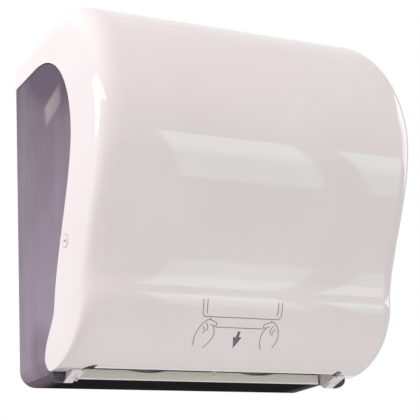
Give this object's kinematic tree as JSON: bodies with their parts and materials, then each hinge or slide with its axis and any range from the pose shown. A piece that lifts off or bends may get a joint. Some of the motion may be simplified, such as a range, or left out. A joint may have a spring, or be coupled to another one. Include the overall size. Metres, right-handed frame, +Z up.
{
  "type": "autocut towel dispenser",
  "caption": "Wall-mounted paper roll dispenser with a bulging hinged front, a translucent rear casing, sprung roll arms, and a pull-driven drum that cuts each sheet with a toothed blade.",
  "frame": {"origin": "middle of the wall screw pattern, in the plane of the wall", "axes": "+X to the right seen from the room, +Y into the wall, +Z up; the front faces -Y"},
  "size_m": [0.3304, 0.242, 0.3622],
  "materials": {
    "white_cover": "smooth moulded gloss",
    "smoke_casing": "translucent smoke tint, gloss",
    "chute_plastic": "fine moulded texture",
    "grey_plastic": "fine moulded texture",
    "dark_plastic": "fine moulded texture",
    "ivory_plastic": "plain moulded",
    "wheel_plastic": "plain moulded",
    "hub_plastic": "plain moulded",
    "rubber": "moulded",
    "steel": "drawn and ground",
    "blade_steel": "ground edge",
    "zinc": "zinc plated"
  },
  "bodies": {
    "casing": {"rear_casing": "smoke_casing", "hinge_pins": "steel", "left_cheek": "grey_plastic", "right_cheek": "grey_plastic", "tie_bars": "steel", "cheek_screws": "zinc", "paper_chute": "chute_plastic", "chute_screws": "zinc", "left_bush": "ivory_plastic", "one_way_clutch": "steel", "cam_plate": "ivory_plastic", "spring_housing": "dark_plastic", "spring_cap": "dark_plastic", "spring_post": "steel", "yoke_pivot_rod": "steel", "left_arm_bracket": "grey_plastic", "right_arm_bracket": "grey_plastic", "bracket_screws": "zinc", "left_pivot_pin": "steel", "right_pivot_pin": "steel", "lock_keeper": "zinc"},
    "cover": {"front_cover": "white_cover", "hinge_arms": "white_cover", "lock_sleeve": "zinc"},
    "lock": {"lock_barrel": "white_cover", "lock_tongue": "zinc", "tongue_screw": "zinc"},
    "drum": {"drum_front_half": "grey_plastic", "drum_rear_half": "grey_plastic", "left_drum_end": "grey_plastic", "right_drum_end": "grey_plastic", "drum_shaft": "steel", "grip_strips": "rubber", "shaft_clips": "zinc", "hand_wheel": "wheel_plastic", "crank_disc": "ivory_plastic", "crank_pin": "steel"},
    "blade": {"blade_carrier": "ivory_plastic", "cutter_blade": "blade_steel", "blade_screws": "zinc", "cam_follower": "steel"},
    "spring_link": {"drive_spring": "steel", "spring_eyes": "zinc"},
    "yoke": {"pinch_yoke": "dark_plastic", "yoke_springs": "steel"},
    "pinch_roller": {"pinch_shaft": "steel", "pinch_tyres": "rubber"},
    "left_arm": {"left_roll_arm": "grey_plastic", "left_hub_axle": "steel"},
    "right_arm": {"right_roll_arm": "grey_plastic", "right_hub_axle": "steel"},
    "left_roll_hub": {"left_hub": "hub_plastic"},
    "right_roll_hub": {"right_hub": "hub_plastic"}
  },
  "joints": [
    {"name": "cover_hinge", "type": "hinge", "parent": "casing", "child": "cover", "pos_m": [0, -0.08, -0.201], "axis": [1, 0, 0], "range_deg": [0, 90]},
    {"name": "lock_turn", "type": "hinge", "parent": "cover", "child": "lock", "pos_m": [-0.165, -0.135, -0.084], "axis": [1, 0, 0], "range_deg": [0, 90]},
    {"name": "drum_spin", "type": "hinge", "parent": "casing", "child": "drum", "pos_m": [0, -0.128, -0.122], "axis": [-1, 0, 0], "continuous": true},
    {"name": "blade_slide", "type": "slide", "parent": "drum", "child": "blade", "axis": [0, -0.7071, -0.7071], "range_m": [0, 0.011], "stiffness_N_per_m": 200, "springref_m": -0.006},
    {"name": "spring_swing", "type": "hinge", "parent": "casing", "child": "spring_link", "pos_m": [0.136, -0.128, -0.024], "axis": [1, 0, 0], "range_deg": [-7.5, 7.5]},
    {"name": "yoke_lift", "type": "hinge", "parent": "casing", "child": "yoke", "pos_m": [0, -0.064, -0.062], "axis": [-1, 0, 0], "range_deg": [0, 5], "stiffness_Nm_per_rad": 2, "springref_deg": -11.46},
    {"name": "pinch_spin", "type": "hinge", "parent": "yoke", "child": "pinch_roller", "pos_m": [0, -0.1008, -0.07489], "axis": [-1, 0, 0], "continuous": true},
    {"name": "left_arm_swing", "type": "hinge", "parent": "casing", "child": "left_arm", "pos_m": [-0.109, -0.014, 0.035], "axis": [0, 0, -1], "range_deg": [0, 12], "stiffness_Nm_per_rad": 1.5, "springref_deg": -5.73},
    {"name": "right_arm_swing", "type": "hinge", "parent": "casing", "child": "right_arm", "pos_m": [0.109, -0.014, 0.035], "axis": [0, 0, 1], "range_deg": [0, 12], "stiffness_Nm_per_rad": 1.5, "springref_deg": -5.73},
    {"name": "left_hub_spin", "type": "hinge", "parent": "left_arm", "child": "left_roll_hub", "pos_m": [-0.104, -0.112, 0.035], "axis": [1, 0, 0], "continuous": true},
    {"name": "right_hub_spin", "type": "hinge", "parent": "right_arm", "child": "right_roll_hub", "pos_m": [0.104, -0.112, 0.035], "axis": [1, 0, 0], "continuous": true}
  ],
  "couplings": [
    {"joint": "pinch_spin", "follows": "drum_spin", "ratio": -4.4}
  ]
}
